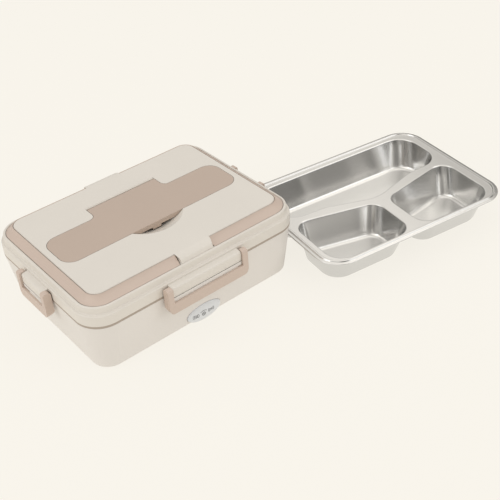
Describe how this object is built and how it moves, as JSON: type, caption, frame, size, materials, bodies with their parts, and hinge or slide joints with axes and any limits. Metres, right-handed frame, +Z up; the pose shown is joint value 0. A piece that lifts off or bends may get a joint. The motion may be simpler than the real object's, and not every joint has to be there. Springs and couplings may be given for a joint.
{
  "type": "electric lunch box",
  "caption": "Heated lunch box with a clip-on lid, side latches, folding carry handles, a covered cutlery compartment and a lift-out divided steel tray beside it.",
  "frame": {"origin": "centre of the box's footprint, on the surface that its feet rest on", "axes": "+Z up; +X along the box's length, towards the tray that stands beside it; the front, with the oval panel, faces -Y"},
  "size_m": [0.5026, 0.2856, 0.0875],
  "materials": {
    "cream_shell": "fine satin",
    "cream_lid": "fine satin",
    "tan_plastic": "fine satin",
    "brown_plastic": "fine satin",
    "white_liner": "satin",
    "panel_grey": "smooth",
    "lamp_plastic": "frosted",
    "inlet_plastic": "satin",
    "board_green": "satin",
    "feet_rubber": "matte",
    "gasket_rubber": "matte",
    "heater_silicone": "matte",
    "lead_rubber": "matte",
    "plate_aluminium": "brushed",
    "thermostat_steel": "pressed",
    "screw_steel": "plated",
    "pin_steel": "drawn",
    "tray_steel": "satin, polished rim",
    "fuse_brass": "drawn",
    "pin_brass": "turned"
  },
  "bodies": {
    "base": {"base_shell": "cream_shell", "bottom_cover": "cream_shell", "feet": "feet_rubber", "cover_screws": "screw_steel", "inner_liner": "white_liner", "heating_plate": "plate_aluminium", "heater_strips": "heater_silicone", "thermostat": "thermostat_steel", "thermal_fuse": "fuse_brass", "control_board": "board_green", "indicator_leds": "lamp_plastic", "indicator_panel": "panel_grey", "inlet_socket": "inlet_plastic", "inlet_pins": "pin_brass", "heater_leads": "lead_rubber", "latch_catches": "cream_shell"},
    "lid": {"lid_shell": "cream_lid", "cutlery_well": "cream_lid", "lid_liner": "white_liner", "lid_gasket": "gasket_rubber", "latch_pins": "pin_steel", "handle_pins": "pin_steel", "cover_pins": "pin_steel"},
    "front_latch": {"front_latch": "tan_plastic"},
    "back_latch": {"back_latch": "tan_plastic"},
    "left_latch": {"left_latch": "tan_plastic"},
    "right_latch": {"right_latch": "tan_plastic"},
    "left_handle": {"left_handle": "tan_plastic"},
    "right_handle": {"right_handle": "tan_plastic"},
    "cutlery_cover": {"cutlery_cover": "brown_plastic"},
    "food_tray": {"food_tray": "tray_steel"}
  },
  "joints": [
    {"name": "lid_lift", "type": "slide", "parent": "base", "child": "lid", "axis": [0, 0, 1], "range_m": [0, 0.08]},
    {"name": "front_latch_hinge", "type": "hinge", "parent": "lid", "child": "front_latch", "pos_m": [0, -0.09815, 0.0669], "axis": [-1, 0, 0], "range_deg": [0, 100]},
    {"name": "back_latch_hinge", "type": "hinge", "parent": "lid", "child": "back_latch", "pos_m": [0, 0.09815, 0.0669], "axis": [1, 0, 0], "range_deg": [0, 100]},
    {"name": "left_latch_hinge", "type": "hinge", "parent": "lid", "child": "left_latch", "pos_m": [-0.1304, 0, 0.0669], "axis": [0, 1, 0], "range_deg": [0, 100]},
    {"name": "right_latch_hinge", "type": "hinge", "parent": "lid", "child": "right_latch", "pos_m": [0.1304, 0, 0.0669], "axis": [0, -1, 0], "range_deg": [0, 100]},
    {"name": "left_handle_hinge", "type": "hinge", "parent": "lid", "child": "left_handle", "pos_m": [-0.0255, 0, 0.0826], "axis": [0, 1, 0], "range_deg": [0, 90]},
    {"name": "right_handle_hinge", "type": "hinge", "parent": "lid", "child": "right_handle", "pos_m": [0.0255, 0, 0.0826], "axis": [0, -1, 0], "range_deg": [0, 90]},
    {"name": "cutlery_cover_hinge", "type": "hinge", "parent": "lid", "child": "cutlery_cover", "pos_m": [0, 0.0415, 0.0845], "axis": [-1, 0, 0], "range_deg": [0, 100]},
    {"name": "tray_slide", "type": "slide", "parent": "base", "child": "food_tray", "axis": [0.9899, -0.1418, 0], "range_m": [0, 0.12]}
  ]
}
